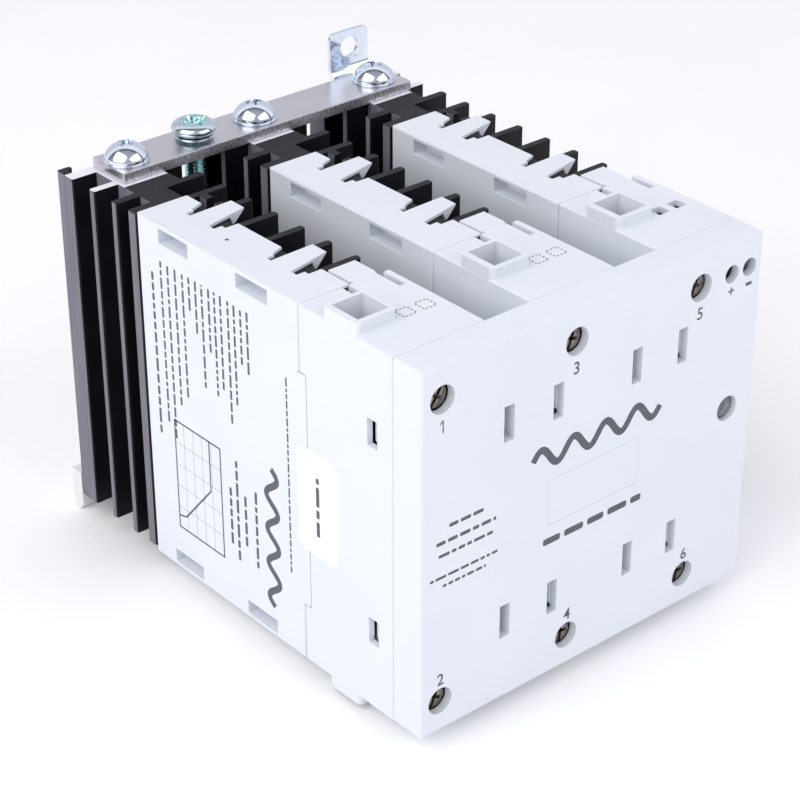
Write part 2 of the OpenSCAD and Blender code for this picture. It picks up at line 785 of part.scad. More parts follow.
module rail_hook(i) {
    z0 = spring_z1;
    z1 = rail_z + rail_h / 2 + 6.4;
    color("white") pole_frame(i) difference() {
        union() {
            foot_plate(z0, z1);
            rail_claw(rail_z + rail_h / 2 + 0.2);
        }
        along_y(pole_w / 2, depth - slot_d - 1, depth + 1, hook_screw_z, 4.2);
        along_y(pole_w / 2, depth - slot_d + 0.1 + bracket_t, depth + 5, hook_screw_z, rear_head_d + 0.4);
        block([foot_x0 - 1, depth, z0 - 1], [foot_x1 + 1, depth + 1, rail_z + rail_h / 2 - 3]);
    }
}

module rail_latch(i) {
    claw_z = rail_z - rail_h / 2 - 0.2;
    y1 = depth + rail_gap + claw_t;
    color("white") pole_frame(i) {
        difference() {
            union() {
                foot_plate(sink_z0, spring_z0);
                translate([0, 0, 2 * claw_z]) mirror([0, 0, 1]) rail_claw(claw_z);
                // Back bar and wide release handle with a chamfered lower edge
                block([4.5, depth + 0.1, 5], [pole_w - 4.5, y1, claw_z]);
                across_x(0, pole_w)
                    polygon([[depth + 0.1, 6], [y1, 6], [y1, 1 - handle_drop], [y1 - 1, -handle_drop],
                             [depth + 1.5, -handle_drop], [depth + 0.1, 1.6 - handle_drop]]);
            }
            // Screwdriver slot of the handle
            block([8, depth - 1, -2], [14.5, y1 - 1.2, 1.2]);
            block([foot_x0 - 1, depth, claw_z], [foot_x1 + 1, depth + 0.3, spring_z0 + 1]);
        }
    }
}

// Serpentine spring that pulls the latch up against the rail
module latch_spring(i) {
    bends = 5;
    w = 0.7;
    pitch = (spring_z1 - spring_z0 - w) / bends;
    x0 = 6.5;
    x1 = pole_w - x0;
    y0 = depth - slot_d + 0.5;
    color("dimgray") pole_frame(i) translate([0, y0 + 1.6, spring_z0]) rotate([90, 0, 0])
        linear_extrude(1.6) {
            for (k = [0:bends]) flat([x0, k * pitch], [x1, k * pitch + w]);
            for (k = [0:bends - 1])
                flat([k % 2 == 0 ? x1 - w : x0, k * pitch], [k % 2 == 0 ? x1 : x0 + w, (k + 1) * pitch + w]);
        }
}

// ---------- node list ----------

front_cover();
indicator_lens();
link_board();
side_sticker();
for (i = POLES) {
    terminal_housing(i);
    rear_shell(i);
    heat_sink(i);
    power_module(i);
    trigger_board(i);
    busbar(i, true);
    busbar(i, false);
    terminal_screw(i, true);
    terminal_screw(i, false);
    clamp_cage(i, true);
    clamp_cage(i, false);
}
control_screw(0);  // control_screw_plus
control_screw(1);  // control_screw_minus
control_cage(0);  // control_cage_plus
control_cage(1);  // control_cage_minus
control_contacts();
earth_bar();
bar_screws();
earth_screw();
earth_washer();
mounting_bracket();
rear_screws();
for (i = [0, 2]) {
    rail_hook(i);
    rail_latch(i);
    latch_spring(i);
}
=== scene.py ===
"""Looks of the three-pole solid state relay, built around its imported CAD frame.

Lengths in the functions below are millimetres from the front cover's left front bottom corner,
and at() turns them into the frame's metres.
"""
import json
import math
import random

import bmesh
import bpy
from mathutils import Matrix, Vector


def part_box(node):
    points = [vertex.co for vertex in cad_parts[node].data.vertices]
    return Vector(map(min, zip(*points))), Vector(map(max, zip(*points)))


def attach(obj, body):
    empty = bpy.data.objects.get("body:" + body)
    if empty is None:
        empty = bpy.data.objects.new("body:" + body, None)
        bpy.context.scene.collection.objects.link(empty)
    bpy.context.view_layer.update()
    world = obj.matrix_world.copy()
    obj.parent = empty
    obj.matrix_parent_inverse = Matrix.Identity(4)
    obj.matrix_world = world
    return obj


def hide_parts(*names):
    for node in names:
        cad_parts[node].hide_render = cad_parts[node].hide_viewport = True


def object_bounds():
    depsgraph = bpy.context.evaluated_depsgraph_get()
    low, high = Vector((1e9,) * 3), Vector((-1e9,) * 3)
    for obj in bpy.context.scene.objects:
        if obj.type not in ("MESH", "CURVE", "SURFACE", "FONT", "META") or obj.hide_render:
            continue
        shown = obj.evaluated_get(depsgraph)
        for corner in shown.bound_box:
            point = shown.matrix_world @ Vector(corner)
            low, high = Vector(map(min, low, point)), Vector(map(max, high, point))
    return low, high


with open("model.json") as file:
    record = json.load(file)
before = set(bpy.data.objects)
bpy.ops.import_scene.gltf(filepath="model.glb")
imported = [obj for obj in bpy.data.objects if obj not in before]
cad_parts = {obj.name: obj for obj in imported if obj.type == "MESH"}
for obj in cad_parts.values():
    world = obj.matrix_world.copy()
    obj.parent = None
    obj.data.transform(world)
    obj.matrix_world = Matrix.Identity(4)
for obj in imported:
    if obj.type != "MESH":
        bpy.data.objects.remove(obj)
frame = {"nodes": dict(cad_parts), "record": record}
cad_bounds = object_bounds()

MM = 0.001
# Vertices of a CAD mesh closer than this, in metres, are one.
WELD = 1e-6
ORIGIN = Vector(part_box("front_cover")[0])
SIZE = (Vector(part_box("front_cover")[1]) - ORIGIN) / MM
WIDTH = SIZE.x
HEIGHT = SIZE.z
DEPTH = 117.2
POLE_W = 22.5
POLE_PITCH = (WIDTH - POLE_W) / 2
POLES = (0, 1, 2)
# Power terminals: distance from a pole's left side, and from the top and the bottom.
TERMINAL_X = 5.1
TERMINAL_Z = 7.1
# Control terminals on the third pole: first one from its left side, and their pitch.
CONTROL_X = 13.9
CONTROL_PITCH = 5.08
# Printing stands this far out of a face and reaches this far into it.
INK_T = 0.012
INK_ROOT = 0.004


def at(x, y, z):
    """Point of the frame, in metres."""
    return ORIGIN + Vector((x, y, z)) * MM


def corners(node):
    """Lowest and highest corner of a CAD node in millimetres, and its middle."""
    low, high = [(Vector(corner) - ORIGIN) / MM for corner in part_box(node)]
    return low, high, (low + high) / 2


# ---------------------------------------------------------------- materials

class Finish:
    """Node tree of one material, with short calls for the nodes that the finishes share."""

    def __init__(self, name, **sockets):
        self.material = bpy.data.materials.new(name)
        self.material.use_nodes = True
        self.tree = self.material.node_tree
        self.bsdf = self.tree.nodes["Principled BSDF"]
        self.coords = self.node("ShaderNodeTexCoord").outputs["Object"]
        for key, value in sockets.items():
            self.bsdf.inputs[key.replace("_", " ")].default_value = value

    def node(self, kind, **settings):
        """Adds a node with the given settings."""
        made = self.tree.nodes.new(kind)
        for key, value in settings.items():
            setattr(made, key, value)
        return made

    def join(self, source, target):
        """Links an output to an input."""
        self.tree.links.new(source, target)

    def stretched(self, stretch):
        """Object coordinates scaled per axis."""
        mapping = self.node("ShaderNodeMapping")
        mapping.inputs["Scale"].default_value = stretch
        self.join(self.coords, mapping.inputs["Vector"])
        return mapping.outputs["Vector"]

    def noise(self, size, detail=3.0, stretch=(1, 1, 1), distortion=0.0):
        """Noise whose features are about size millimetres wide."""
        made = self.node("ShaderNodeTexNoise")
        made.inputs["Scale"].default_value = 1 / (size * MM)
        made.inputs["Detail"].default_value = detail
        made.inputs["Distortion"].default_value = distortion
        self.join(self.stretched(stretch), made.inputs["Vector"])
        return made.outputs["Fac"]

    def spread(self, source, low, high, start=0.3, end=0.7):
        """Turns start..end of the source into low..high."""
        made = self.node("ShaderNodeMapRange")
        for key, value in (("From Min", start), ("From Max", end), ("To Min", low), ("To Max", high)):
            made.inputs[key].default_value = value
        self.join(source, made.inputs["Value"])
        return made.outputs["Result"]

    def blend(self, factor, first, second):
        """Colour mix of two colours or sockets, by a factor socket."""
        made = self.node("ShaderNodeMix", data_type="RGBA")
        self.join(factor, made.inputs[0])
        for socket, value in ((made.inputs[6], first), (made.inputs[7], second)):
            if isinstance(value, tuple):
                socket.default_value = (*value, 1)
            else:
                self.join(value, socket)
        return made.outputs[2]

    def math(self, operation, first, second=0.0):
        """Result of a sum on sockets or plain numbers."""
        made = self.node("ShaderNodeMath", operation=operation)
        for socket, value in ((made.inputs[0], first), (made.inputs[1], second)):
            if isinstance(value, (int, float)):
                socket.default_value = value
            else:
                self.join(value, socket)
        return made.outputs[0]

    def place(self, axis):
        """Position along one axis, in metres of the frame."""
        split = self.node("ShaderNodeSeparateXYZ")
        self.join(self.coords, split.inputs[0])
        return split.outputs[axis]

    def within(self, source, low, high):
        """Mask that is 1 between two values of the source."""
        above = self.math("GREATER_THAN", source, low)
        below = self.math("LESS_THAN", source, high)
        return self.math("MULTIPLY", above, below)

    def facing(self, axis):
        """Size of the surface normal along one axis, 0 to 1."""
        split = self.node("ShaderNodeSeparateXYZ")
        self.join(self.node("ShaderNodeTexCoord").outputs["Normal"], split.inputs[0])
        return self.math("ABSOLUTE", split.outputs[axis])

    def edges(self, width, low=0.0, high=1.0):
        """Mask that is high near edges: how far a rounded normal leans from the true one."""
        soft = self.node("ShaderNodeBevel", samples=4)
        soft.inputs["Radius"].default_value = width * MM
        dot = self.node("ShaderNodeVectorMath", operation="DOT_PRODUCT")
        self.join(soft.outputs["Normal"], dot.inputs[0])
        self.join(self.node("ShaderNodeNewGeometry").outputs["Normal"], dot.inputs[1])
        return self.spread(dot.outputs["Value"], high, low, 0.75, 0.995)

    def color(self, source):
        """Uses a socket as the base colour."""
        self.join(source, self.bsdf.inputs["Base Color"])

    def roughness(self, source):
        """Uses a socket as the roughness."""
        self.join(source, self.bsdf.inputs["Roughness"])

    def bump(self, height, depth, strength=1.0, under=None):
        """Bump of a depth in millimetres, laid over another bump where one is given."""
        made = self.node("ShaderNodeBump")
        made.inputs["Distance"].default_value = depth * MM
        made.inputs["Strength"].default_value = strength
        self.join(height, made.inputs["Height"])
        if under is not None:
            self.join(under, made.inputs["Normal"])
        self.join(made.outputs["Normal"], self.bsdf.inputs["Normal"])
        return made.outputs["Normal"]


def moulded(name, base, tint, rough, **sockets):
    """Moulded plastic: slow colour drift, fine spark-eroded grain, and slightly paler edges as a painted
    highlight.
    """
    f = Finish(name, **sockets)
    drift = f.noise(28, 2.0)
    speck = f.noise(0.9, 4.0)
    body = f.blend(f.spread(drift, 0.0, 1.0), base, tint)
    body = f.blend(f.spread(speck, 0.0, 0.10, 0.45, 0.8), body, tuple(0.86 * c for c in base))
    # Paler colour near the edges: painted highlight.
    painted_edge_highlight = tuple(min(1.0, 1.06 * c) for c in base)
    f.color(f.blend(f.edges(0.35, 0.0, 0.55), body, painted_edge_highlight))
    f.roughness(f.spread(f.noise(6, 4.0), rough - 0.06, rough + 0.07))
    grain = f.bump(f.noise(0.22, 2.0), 0.010, 0.5)
    f.bump(f.noise(9, 2.0), 0.05, 0.25, grain)
    return f.material


def plated(name, base, tint, rough):
    """Plated steel: patchy passivation colour, fine pits and soft smears in the gloss."""
    f = Finish(name, Metallic=1.0)
    patches = f.noise(2.5, 3.0, distortion=0.6)
    f.color(f.blend(f.spread(patches, 0.0, 1.0, 0.35, 0.65), base, tint))
    f.roughness(f.spread(f.noise(1.1, 5.0), rough - 0.04, rough + 0.08))
    f.bump(f.noise(0.35, 3.0), 0.006, 0.35)
    return f.material


def anodised():
    """Black anodised extrusion: die lines along its height, greyer cut faces, fin ends painted lighter grey
    as a painted reflection of the key lamp, edges painted lighter as a painted highlight, and the bare strip
    that is milled across its top for the earth bar."""
    f = Finish("black_anodised")
    f.bsdf.inputs["Specular IOR Level"].default_value = 0.16
    lines = f.noise(0.35, 3.0, (1, 1, 0.02))
    cut = f.spread(f.facing("Z"), 0.0, 1.0, 0.85, 0.95)
    drift = f.noise(11, 3.0)
    side = f.blend(f.spread(drift, 0.0, 1.0), (0.0060, 0.0058, 0.0080), (0.0095, 0.0090, 0.0125))
    # Faces along X, the fin ends, turn lighter grey over the die lines: painted reflection of the key lamp.
    painted_end_reflection = f.blend(f.spread(lines, 0.0, 1.0), (0.130, 0.128, 0.154), (0.215, 0.212, 0.250))
    side = f.blend(f.spread(f.facing("X"), 0.0, 1.0, 0.85, 0.97), side, painted_end_reflection)
    saw = f.noise(0.30, 4.0, (0.05, 1, 1))
    end = f.blend(f.spread(saw, 0.0, 1.0), (0.009, 0.0088, 0.0110), (0.018, 0.0175, 0.021))
    body = f.blend(cut, side, end)
    # Lighter grey near the edges: painted highlight.
    body = f.blend(f.edges(0.14, 0.0, 0.30), body, (0.13, 0.13, 0.15))
    low, high, _ = corners("earth_bar")
    bare_before, bare_behind, tolerance = 1.3, 0.6, 0.04 * MM
    strip_y = f.within(f.place("Y"), at(0, low.y - bare_before, 0).y, at(0, high.y + bare_behind, 0).y)
    level = at(0, 0, low.z).z
    strip_z = f.within(f.place("Z"), level - tolerance, level + tolerance)
    bare = f.math("MULTIPLY", cut, f.math("MULTIPLY", strip_y, strip_z))
    mill = f.blend(f.spread(f.noise(0.4, 3.0, (0.1, 1, 1)), 0.0, 1.0), (0.88, 0.88, 0.92), (0.96, 0.96, 1.0))
    f.color(f.blend(bare, body, mill))
    f.join(f.math("MULTIPLY", bare, 0.45), f.bsdf.inputs["Metallic"])
    f.roughness(f.math("ADD", f.spread(lines, 0.28, 0.40), f.math("MULTIPLY", cut, 0.10)))
    fine = f.bump(lines, 0.010, 0.3)
    f.bump(f.math("MULTIPLY", saw, cut), 0.012, 0.4, fine)
    return f.material


def mill_aluminium():
    """Drawn aluminium strip: faint grain along its length, clean upper face, a sheared front edge, and
    painted highlights along its edges.
    """
    f = Finish("mill_aluminium", Metallic=1.0)
    grain = f.noise(0.30, 3.0, (0.02, 1, 1))
    smear = f.noise(7, 3.0, (0.5, 1, 1))
    sheared = f.spread(f.facing("Y"), 0.0, 1.0, 0.7, 0.9)
    tears = f.noise(0.50, 5.0, (1, 1, 0.55))
    face = f.blend(f.spread(smear, 0.0, 1.0), (0.69, 0.685, 0.715), (0.64, 0.635, 0.665))
    face = f.blend(f.spread(grain, 0.0, 0.08), face, (0.52, 0.51, 0.54))
    torn = f.blend(f.spread(tears, 0.0, 1.0, 0.35, 0.65), (0.42, 0.415, 0.44), (0.86, 0.85, 0.89))
    body = f.blend(sheared, face, torn)
    # Near-white colour near the edges: painted highlight.
    f.color(f.blend(f.edges(0.22, 0.0, 0.8), body, (0.95, 0.95, 0.97)))
    f.roughness(f.math("ADD", f.spread(grain, 0.27, 0.31), f.math("MULTIPLY", sheared, 0.12)))
    long_grain = f.bump(grain, 0.001, 0.15)
    f.bump(f.math("MULTIPLY", tears, sheared), 0.05, 0.7, long_grain)
    return f.material


def teal_plated():
    """Earth screw: teal passivation in the recess and on the thread, plain bright zinc round them."""
    f = Finish("teal_zinc", Metallic=1.0)
    middle = at(*corners("earth_screw")[2])
    across = f.math("SUBTRACT", f.place("X"), middle.x)
    along = f.math("SUBTRACT", f.place("Y"), middle.y)
    span = f.math("ADD", f.math("MULTIPLY", across, across), f.math("MULTIPLY", along, along))
    radius = f.math("SQRT", span)
    patches = f.noise(1.6, 3.0, distortion=0.6)
    teal = f.blend(f.spread(patches, 0.0, 1.0, 0.35, 0.65), (0.36, 0.66, 0.66), (0.52, 0.80, 0.80))
    plain = f.blend(f.spread(patches, 0.0, 1.0, 0.35, 0.65), (0.56, 0.62, 0.66), (0.64, 0.72, 0.78))
    recess_r, plain_r = 2.7 * MM, 3.5 * MM
    f.color(f.blend(f.spread(radius, 0.0, 1.0, recess_r, plain_r), teal, plain))
    f.roughness(f.spread(f.noise(1.1, 5.0), 0.07, 0.18))
    f.bump(f.noise(0.35, 3.0), 0.004, 0.3)
    return f.material


def board():
    """Circuit board: green mask over a faint copper mesh."""
    f = Finish("circuit_board", Roughness=0.35)
    weave = f.node("ShaderNodeTexChecker")
    weave.inputs["Scale"].default_value = 1 / (0.8 * MM)
    f.join(f.coords, weave.inputs["Vector"])
    green = f.blend(f.spread(f.noise(4), 0.0, 1.0), (0.012, 0.10, 0.04), (0.02, 0.16, 0.07))
    f.color(f.blend(f.spread(weave.outputs["Fac"], 0.0, 0.2, 0.0, 1.0), green, (0.06, 0.20, 0.08)))
    f.roughness(f.spread(f.noise(2), 0.28, 0.45))
    f.bump(f.noise(0.5), 0.02, 0.4)
    return f.material


def drawn_metal(name, base, tint, rough, stretch):
    """Pressed or drawn metal with grain along one axis."""
    f = Finish(name, Metallic=1.0)
    grain = f.noise(0.25, 4.0, stretch)
    f.color(f.blend(f.spread(grain, 0.0, 1.0), base, tint))
    f.roughness(f.spread(f.noise(1.5, 4.0), rough - 0.05, rough + 0.1))
    f.bump(grain, 0.01, 0.4)
    return f.material


def ink():
    """Pad-printed grey ink, a little uneven."""
    f = Finish("printed_ink")
    f.color(f.blend(f.spread(f.noise(0.5, 4.0), 0.0, 1.0), (0.070, 0.070, 0.090), (0.110, 0.110, 0.135)))
    f.roughness(f.spread(f.noise(0.8), 0.40, 0.58))
    f.bump(f.noise(0.2), 0.004, 0.4)
    return f.material


def film():
    """White label film with a faint ripple."""
    f = Finish("sticker_film")
    f.color(f.blend(f.spread(f.noise(8), 0.0, 1.0), (0.90, 0.90, 0.91), (0.93, 0.93, 0.94)))
    f.roughness(f.spread(f.noise(3), 0.30, 0.42))
    f.bump(f.noise(5, 2.0), 0.02, 0.2)
    return f.material


def ceramic():
    """Alumina substrate with potting."""
    f = Finish("ceramic_module")
    f.color(f.blend(f.spread(f.noise(3), 0.0, 1.0), (0.62, 0.61, 0.57), (0.75, 0.74, 0.70)))
    f.roughness(f.spread(f.noise(0.8), 0.5, 0.7))
    f.bump(f.noise(0.3), 0.01, 0.4)
    return f.material


def lens_plastic():
    """Smoked clear lens with a faint moulding swirl."""
    f = Finish("indicator_plastic", Roughness=0.12, Coat_Weight=0.6, Coat_Roughness=0.05)
    f.color(f.blend(f.spread(f.noise(1.4), 0.0, 1.0), (0.075, 0.075, 0.085), (0.15, 0.15, 0.17)))
    f.roughness(f.spread(f.noise(0.8), 0.08, 0.2))
    f.bump(f.noise(0.8), 0.01, 0.3)
    return f.material


def studio_floor():
    """Pale paper floor with a hint of fibre."""
    f = Finish("floor_paper")
    f.color(f.blend(f.spread(f.noise(60), 0.0, 1.0), (0.94, 0.94, 0.94), (0.96, 0.96, 0.96)))
    f.roughness(f.spread(f.noise(3), 0.75, 0.9))
    f.bump(f.noise(1.5), 0.01, 0.2)
    f.bsdf.inputs["Emission Color"].default_value = (0.98, 0.99, 1.0, 1.0)
    f.bsdf.inputs["Emission Strength"].default_value = 0.06
    return f.material


HOUSING = (0.765, 0.800, 0.850)
HOUSING_TINT = (0.735, 0.775, 0.830)
FINISHES = {
    "housing_plastic": moulded("housing_plastic", HOUSING, HOUSING_TINT, 0.44),
    "foot_plastic": moulded("foot_plastic", (0.80, 0.81, 0.80), (0.75, 0.77, 0.78), 0.38,
                            Subsurface_Weight=0.25, Subsurface_Scale=0.002),
    "sticker_film": film(),
    "black_anodised": anodised(),
    "mill_aluminium": mill_aluminium(),
    "blue_zinc": plated("blue_zinc", (0.76, 0.81, 0.87), (0.66, 0.73, 0.84), 0.10),
    "teal_zinc": teal_plated(),
    "nickel_screw": plated("nickel_screw", (0.34, 0.31, 0.26), (0.22, 0.20, 0.17), 0.26),
    "zinc_cage": drawn_metal("zinc_cage", (0.60, 0.60, 0.58), (0.50, 0.50, 0.49), 0.32, (1, 0.1, 1)),
    "spring_steel": drawn_metal("spring_steel", (0.40, 0.40, 0.42), (0.30, 0.30, 0.33), 0.30, (0.1, 1, 1)),
    "copper": drawn_metal("copper", (0.70, 0.34, 0.19), (0.55, 0.26, 0.15), 0.28, (1, 1, 0.1)),
    "circuit_board": board(),
    "ceramic_module": ceramic(),
    "indicator_plastic": lens_plastic(),
    "printed_ink": ink(),
}
NODE_SLOT = {entry["node"]: entry["material_slot"] for entry in frame["record"]["subparts"]}


def dress_cad_nodes():
    """Gives every CAD node the procedural finish of its slot."""
    for name, node in frame["nodes"].items():
        node.data.materials.clear()
        node.data.materials.append(FINISHES[NODE_SLOT[name]])


# ---------------------------------------------------------------- mesh helpers

def add_piece(name, mesh, body, slot, finish=None):
    """Puts a mesh in the scene as a piece that rides on a body."""
    mesh.materials.clear()
    mesh.materials.append(FINISHES[finish or slot])
    piece = bpy.data.objects.new(name, mesh)
    bpy.context.scene.collection.objects.link(piece)
    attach(piece, body)
    return piece


def mesh_of(bm, name, smooth=True):
    """Turns a bmesh into a mesh with outward faces."""
    bmesh.ops.recalc_face_normals(bm, faces=bm.faces)
    for face in bm.faces:
        face.smooth = smooth
    mesh = bpy.data.meshes.new(name)
    bm.to_mesh(mesh)
    bm.free()
    return mesh


def even_shading(piece):
    """Keeps large flats flat beside small rounded edges."""
    weighted = piece.modifiers.new("even shading", "WEIGHTED_NORMAL")
    weighted.keep_sharp = True
    weighted.weight = 100


def applied(piece):
    """Applies all modifiers of a piece to its mesh."""
    graph = bpy.context.evaluated_depsgraph_get()
    mesh = bpy.data.meshes.new_from_object(piece.evaluated_get(graph))
    piece.modifiers.clear()
    piece.data = mesh


def carve(piece, cutters, operation="DIFFERENCE"):
    """Cuts meshes out of a piece and removes the cutters."""
    for mesh in cutters:
        cutter = bpy.data.objects.new("cutter", mesh)
        bpy.context.scene.collection.objects.link(cutter)
        cut = piece.modifiers.new("cut", "BOOLEAN")
        cut.operation = operation
        cut.solver = "EXACT"
        cut.object = cutter
        bpy.context.view_layer.update()
        applied(piece)
        bpy.data.objects.remove(cutter)


def bevel_sharp(bm, width, angle, segments, clamp=True):
    """Rounds the edges whose faces meet at more than the angle, in degrees; the width is in millimetres."""
    limit = math.radians(angle)
    sharp = [e for e in bm.edges if len(e.link_faces) == 2 and e.calc_face_angle(0) > limit]
    bmesh.ops.bevel(bm, geom=sharp, offset=width * MM, segments=segments, profile=0.5,
                    affect="EDGES", clamp_overlap=clamp)


def round_edges(bm, width):
    """Joins the CAD mesh's triangles into whole faces and rounds its sharp edges."""
    bmesh.ops.remove_doubles(bm, verts=bm.verts, dist=WELD)
    bmesh.ops.dissolve_limit(bm, angle_limit=math.radians(0.6), verts=bm.verts, edges=bm.edges)
    bevel_sharp(bm, width, 30, 2, clamp=False)
    bmesh.ops.remove_doubles(bm, verts=bm.verts, dist=WELD)


def soften(node, width):
    """Copy of a CAD node with rounded edges, which stands for it."""
    bm = bmesh.new()
    bm.from_mesh(frame["nodes"][node].data)
    round_edges(bm, width)
    piece = add_piece(node + "_finished", mesh_of(bm, node), body_of(node), NODE_SLOT[node])
    even_shading(piece)
    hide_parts(node)


def body_of(node):
    """Name of the body a CAD node rides on."""
    for body, nodes in frame["record"]["behaviour"]["bodies"].items():
        if node in nodes:
            return body
    raise KeyError(node)


def lathe(profile, segments):
    """Bmesh turned about Z from (radius, height) pairs, both ends on the axis."""
    bm = bmesh.new()
    rings = []
    for radius, height in profile:
        if radius == 0:
            rings.append([bm.verts.new((0, 0, height * MM))])
            continue
        ring = []
        for k in range(segments):
            angle = 2 * math.pi * k / segments
            reach = radius * MM
            ring.append(bm.verts.new((reach * math.cos(angle), reach * math.sin(angle), height * MM)))
        rings.append(ring)
    for low, high in zip(rings, rings[1:]):
        for k in range(segments):
            n = (k + 1) % segments
            if len(low) == 1:
                bm.faces.new((low[0], high[n], high[k]))
            elif len(high) == 1:
                bm.faces.new((low[k], low[n], high[0]))
            else:
                bm.faces.new((low[k], low[n], high[n], high[k]))
    return bm


def blade(length, width, depth, top, taper, turn=0.0):
    """Wedge-shaped cutter for one arm of a driver recess, going down from z = top."""
    bm = bmesh.new()
    rings = []
    for z, k in ((top + 1, 1.0 + 0.18), (top - depth, taper)):
        half_l = length / 2 * k
        half_w = width / 2 * (0.5 + 0.5 * k)
        outline = ((-half_l, -half_w), (half_l, -half_w), (half_l, half_w), (-half_l, half_w))
        rings.append([bm.verts.new((x * MM, y * MM, z * MM)) for x, y in outline])
    bm.faces.new(rings[0])
    bm.faces.new(rings[1])
    for k in range(4):
        n = (k + 1) % 4
        bm.faces.new((rings[0][k], rings[0][n], rings[1][n], rings[1][k]))
    bmesh.ops.rotate(bm, verts=bm.verts, matrix=Matrix.Rotation(math.radians(turn), 3, "Z"))
    return mesh_of(bm, "blade", False)


def arc(centre_r, centre_h, radius, start, end, steps):
    """(radius, height) points along an arc, angles in degrees from the outward direction."""
    points = []
    for k in range(steps + 1):
        a = math.radians(start + (end - start) * k / steps)
        points.append((centre_r + radius * math.cos(a), centre_h + radius * math.sin(a)))
    return points


def threaded_rod(bm, radius, root, pitch, z0, z1):
    """Adds a right-handed thread between two heights."""
    turn_steps = 32
    rows_per_turn = 10
    rows = max(4, int((z1 - z0) / pitch * rows_per_turn))
    grid = []
    for j in range(rows + 1):
        z = z0 + (z1 - z0) * j / rows
        fade = min(1.0, (z - z0) / pitch, (z1 - z) / (0.4 * pitch))
        ring = []
        for k in range(turn_steps):
            angle = 2 * math.pi * k / turn_steps
            phase = (z / pitch - k / turn_steps) % 1.0
            crest = 1 - abs(2 * phase - 1)
            r = root + (radius - root) * min(1.0, 1.25 * crest) * max(0.0, fade)
            ring.append(bm.verts.new((r * MM * math.cos(angle), r * MM * math.sin(angle), z * MM)))
        grid.append(ring)
    for low, high in zip(grid, grid[1:]):
        for k in range(turn_steps):
            n = (k + 1) % turn_steps
            bm.faces.new((low[k], low[n], high[n], high[k]))
    bm.faces.new(list(reversed(grid[0])))
    bm.faces.new(grid[-1])


def move(bm, matrix):
    """Moves a whole bmesh by a matrix."""
    bmesh.ops.transform(bm, matrix=matrix, verts=bm.verts)


# ---------------------------------------------------------------- screws

def finish_screw(name, bm, cutters, matrix, body, node, slot):
    """Cuts the recess, moves the screw to its place and lets it stand for its CAD node."""
    piece = add_piece(name, mesh_of(bm, name), body, slot)
    carve(piece, cutters)
    cut = bmesh.new()
    cut.from_mesh(piece.data)
    bevel_sharp(cut, 0.05, 40, 2)
    move(cut, matrix)
    mesh = mesh_of(cut, name)
    mesh.materials.append(FINISHES[slot])
    piece.data = mesh
    even_shading(piece)
    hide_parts(node)


def facing_front(x, y, z, turn):
    """Matrix that turns +Z of a screw towards the front face and puts its head's underside at y."""
    spin = Matrix.Rotation(math.radians(turn), 4, "Z")
    return Matrix.Translation(at(x, y, z)) @ Matrix.Rotation(math.radians(90), 4, "X") @ spin


def terminal_screws():
    """Cheese-head terminal screws with a slot and cross recess, deep in the driver holes."""
    turns = random.Random(5)
    for i in POLES:
        for end, z in (("line", HEIGHT - TERMINAL_Z), ("load", TERMINAL_Z)):
            node = f"{end}_screw_{i + 1}"
            profile = [(0, -12.0), (1.6, -12.0), (1.95, -11.6), (1.95, 0), (2.45, 0)]
            profile += arc(2.35, 0.3, 0.3, -90, 0, 3) + arc(2.2, 2.75, 0.45, 0, 75, 4)
            profile += [(1.4, 3.26), (0, 3.29)]
            bm = lathe(profile, 48)
            cutters = [blade(3.9, 0.75, 1.7, 3.3, 0.55), blade(3.9, 0.75, 1.7, 3.3, 0.55, 90),
                       blade(6.4, 0.7, 0.75, 3.3, 1.0)]
            matrix = facing_front(i * POLE_PITCH + TERMINAL_X, 5.0, z, turns.uniform(0, 90))
            finish_screw(node + "_finished", bm, cutters, matrix, node, node, "nickel_screw")


def control_screws():
    """Small slotted screws of the control terminals."""
    for k, node in enumerate(("control_screw_plus", "control_screw_minus")):
        profile = [(0, -12.3), (1.2, -12.3), (1.45, -12.0), (1.45, 0), (1.55, 0)]
        profile += arc(1.55, 0.2, 0.2, -90, 0, 2) + arc(1.45, 1.85, 0.3, 0, 75, 3)
        profile += [(0.9, 2.17), (0, 2.19)]
        bm = lathe(profile, 40)
        cutters = [blade(4.2, 0.6, 1.0, 2.2, 1.0)]
        x = 2 * POLE_PITCH + CONTROL_X + CONTROL_PITCH * k
        matrix = facing_front(x, 4.5, HEIGHT - 7, 25 + 50 * k)
        finish_screw(node + "_finished", bm, cutters, matrix, node, node, "nickel_screw")


def flanged_head():
    """Profile of a tall domed head on a thin flange, from its underside to its crown."""
    crown = 4.1
    dome = 5.2
    profile = [(2.45, 0), (4.72, 0)] + arc(4.62, 0.30, 0.28, -75, 80, 6) + [(4.66, 0.66), (4.64, 0.80)]
    profile += arc(0, crown - dome, dome, 27, 88, 18)
    return profile + [(0, crown)]


def softened_cuts(piece, width):
    """Bmesh of a cut piece with its sharp edges rounded; the piece itself is removed."""
    bm = bmesh.new()
    bm.from_mesh(piece.data)
    bevel_sharp(bm, width, 40, 3)
    bpy.data.objects.remove(piece)
    return bm


def bar_screws():
    """The three domed screws of the earth bar, as one piece."""
    _, high, middle = corners("earth_bar")
    screw_x = 11.6
    whole = bmesh.new()
    for i in POLES:
        bm = lathe([(0, -11), (2.0, -11), (2.45, -10.5)] + flanged_head(), 72)
        piece = add_piece(f"bar_screw_part_{i}", mesh_of(bm, "bar_screw"), "base", "blue_zinc")
        carve(piece, [blade(4.1, 0.95, 1.9, 4.1, 0.45, turn) for turn in (0, 90)])
        cut = softened_cuts(piece, 0.09)
        spin = Matrix.Rotation(math.radians(20 + 50 * i), 4, "Z")
        move(cut, Matrix.Translation(at(i * POLE_PITCH + screw_x, middle.y, high.z)) @ spin)
        whole.from_mesh(mesh_of(cut, "bar_screw"))
    piece = add_piece("bar_screws_finished", mesh_of(whole, "bar_screws"), "base", "blue_zinc")
    even_shading(piece)
    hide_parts("bar_screws")


